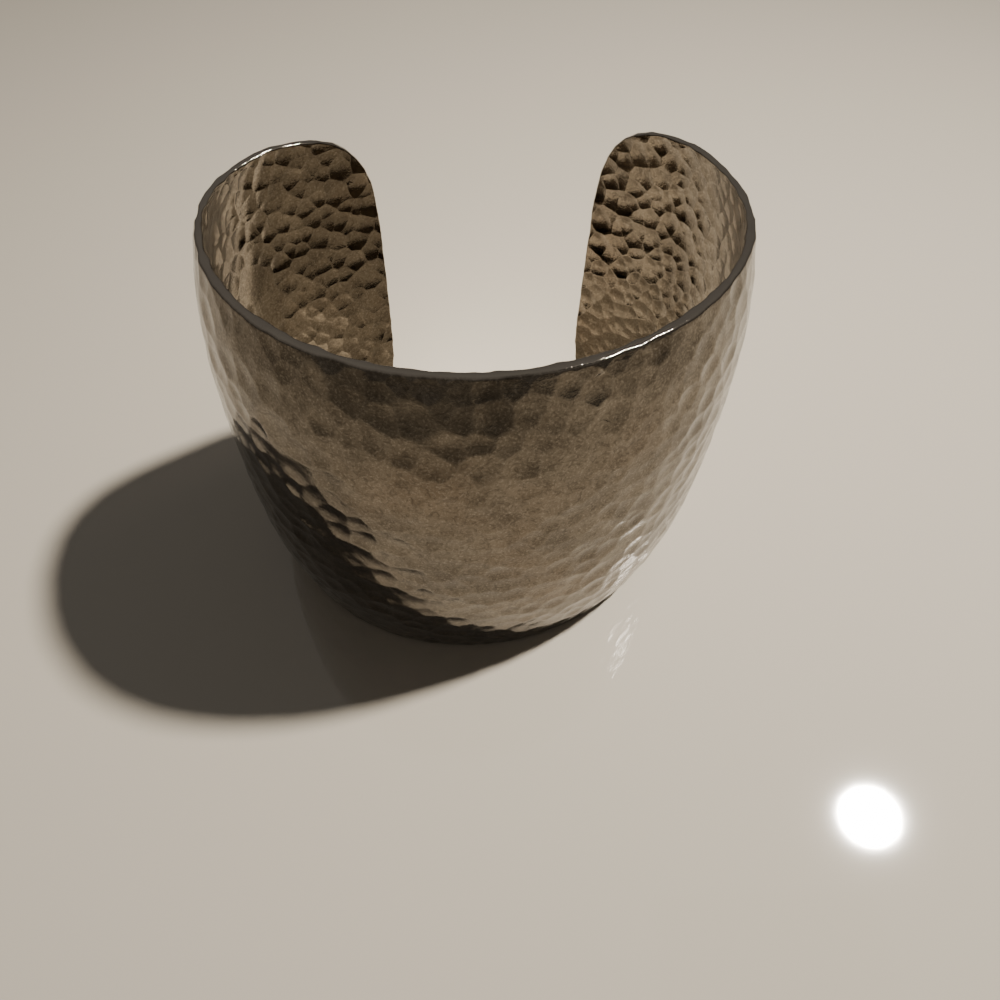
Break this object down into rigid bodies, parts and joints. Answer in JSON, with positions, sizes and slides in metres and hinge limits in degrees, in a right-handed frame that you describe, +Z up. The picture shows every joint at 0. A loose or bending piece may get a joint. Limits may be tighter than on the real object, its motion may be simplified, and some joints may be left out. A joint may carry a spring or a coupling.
{
  "type": "cuff bracelet",
  "caption": "Wide open cuff bracelet of hammered silver-tone metal, crowned outwards, with rounded ends and a gap at the back, standing on its lower edge.",
  "frame": {"origin": "middle of the cuff's bounding box, on the surface it stands on", "axes": "+Z up along the wrist's axis, from the lower edge to the upper edge; -Y towards the front middle of the band; +Y towards the opening between the ends; +X to the right seen from the front"},
  "size_m": [0.062, 0.0518, 0.05],
  "materials": {
    "hammered_metal": "hammered on both faces, satin with fine scratches, warm tarnish, brighter edges"
  },
  "bodies": {
    "root": {"cuff": "hammered_metal"}
  },
  "joints": []
}
